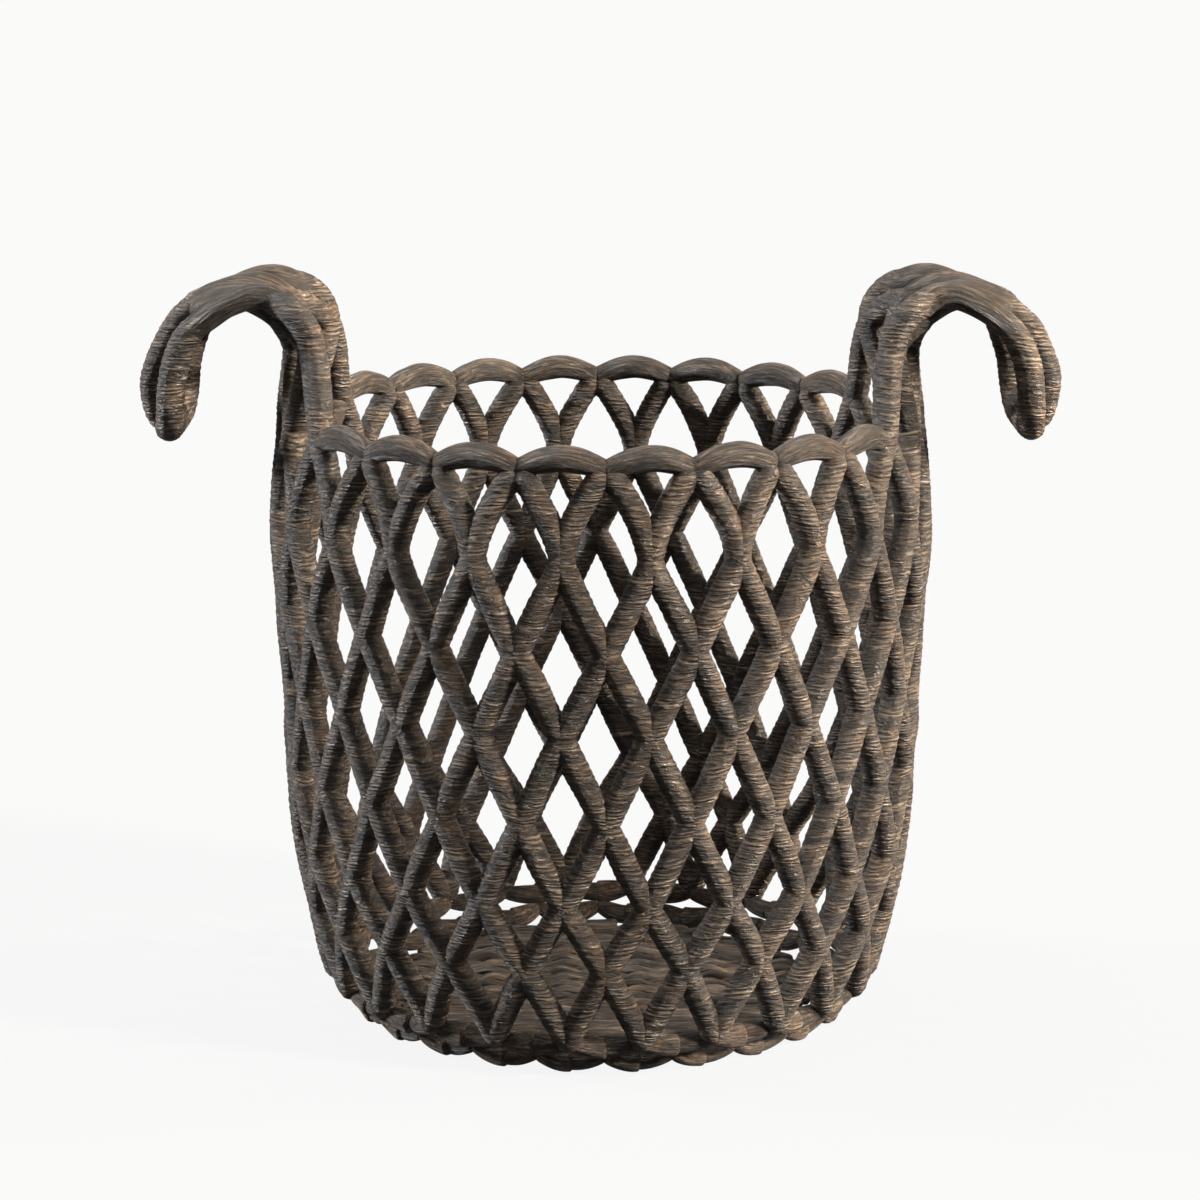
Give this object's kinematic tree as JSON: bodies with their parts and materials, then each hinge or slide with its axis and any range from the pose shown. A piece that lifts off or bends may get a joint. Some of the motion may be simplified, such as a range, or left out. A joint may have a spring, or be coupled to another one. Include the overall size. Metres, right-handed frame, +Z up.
{
  "type": "wicker log basket",
  "caption": "Round open-lattice wicker log basket of thick wrapped strands, with a scalloped rim, two crook handles, a woven base and a double foot border.",
  "frame": {"origin": "centre of the resting plane under the foot border", "axes": "+Z up along the basket's axis, the two handles along +X and -X, front and back along -Y and +Y"},
  "size_m": [0.6838, 0.496, 0.5624],
  "materials": {
    "wall_strand": "satin",
    "handle_strand": "satin",
    "rim_border": "satin",
    "foot_border": "satin",
    "base_weave": "satin",
    "base_stake": "satin"
  },
  "bodies": {
    "root": {"base_stakes": "base_stake", "base_weavers_even_rows": "base_weave", "base_weavers_odd_rows": "base_weave", "foot_border_lower": "foot_border", "foot_border_upper": "foot_border", "left_handle_strand_1": "handle_strand", "left_handle_strand_2": "handle_strand", "left_handle_strand_3": "handle_strand", "left_handle_strand_4": "handle_strand", "left_handle_strand_5": "handle_strand", "left_handle_strand_6": "handle_strand", "left_handle_strand_7": "handle_strand", "left_handle_strand_8": "handle_strand", "right_handle_strand_1": "handle_strand", "right_handle_strand_2": "handle_strand", "right_handle_strand_3": "handle_strand", "right_handle_strand_4": "handle_strand", "right_handle_strand_5": "handle_strand", "right_handle_strand_6": "handle_strand", "right_handle_strand_7": "handle_strand", "right_handle_strand_8": "handle_strand", "rim_scallops_back": "rim_border", "rim_scallops_front": "rim_border", "wall_strand_left_leaning_01": "wall_strand", "wall_strand_left_leaning_02": "wall_strand", "wall_strand_left_leaning_03": "wall_strand", "wall_strand_left_leaning_04": "wall_strand", "wall_strand_left_leaning_05": "wall_strand", "wall_strand_left_leaning_06": "wall_strand", "wall_strand_left_leaning_07": "wall_strand", "wall_strand_left_leaning_08": "wall_strand", "wall_strand_left_leaning_09": "wall_strand", "wall_strand_left_leaning_10": "wall_strand", "wall_strand_left_leaning_11": "wall_strand", "wall_strand_left_leaning_12": "wall_strand", "wall_strand_left_leaning_13": "wall_strand", "wall_strand_left_leaning_14": "wall_strand", "wall_strand_left_leaning_15": "wall_strand", "wall_strand_left_leaning_16": "wall_strand", "wall_strand_right_leaning_01": "wall_strand", "wall_strand_right_leaning_02": "wall_strand", "wall_strand_right_leaning_03": "wall_strand", "wall_strand_right_leaning_04": "wall_strand", "wall_strand_right_leaning_05": "wall_strand", "wall_strand_right_leaning_06": "wall_strand", "wall_strand_right_leaning_07": "wall_strand", "wall_strand_right_leaning_08": "wall_strand", "wall_strand_right_leaning_09": "wall_strand", "wall_strand_right_leaning_10": "wall_strand", "wall_strand_right_leaning_11": "wall_strand", "wall_strand_right_leaning_12": "wall_strand", "wall_strand_right_leaning_13": "wall_strand", "wall_strand_right_leaning_14": "wall_strand", "wall_strand_right_leaning_15": "wall_strand", "wall_strand_right_leaning_16": "wall_strand"}
  },
  "joints": []
}
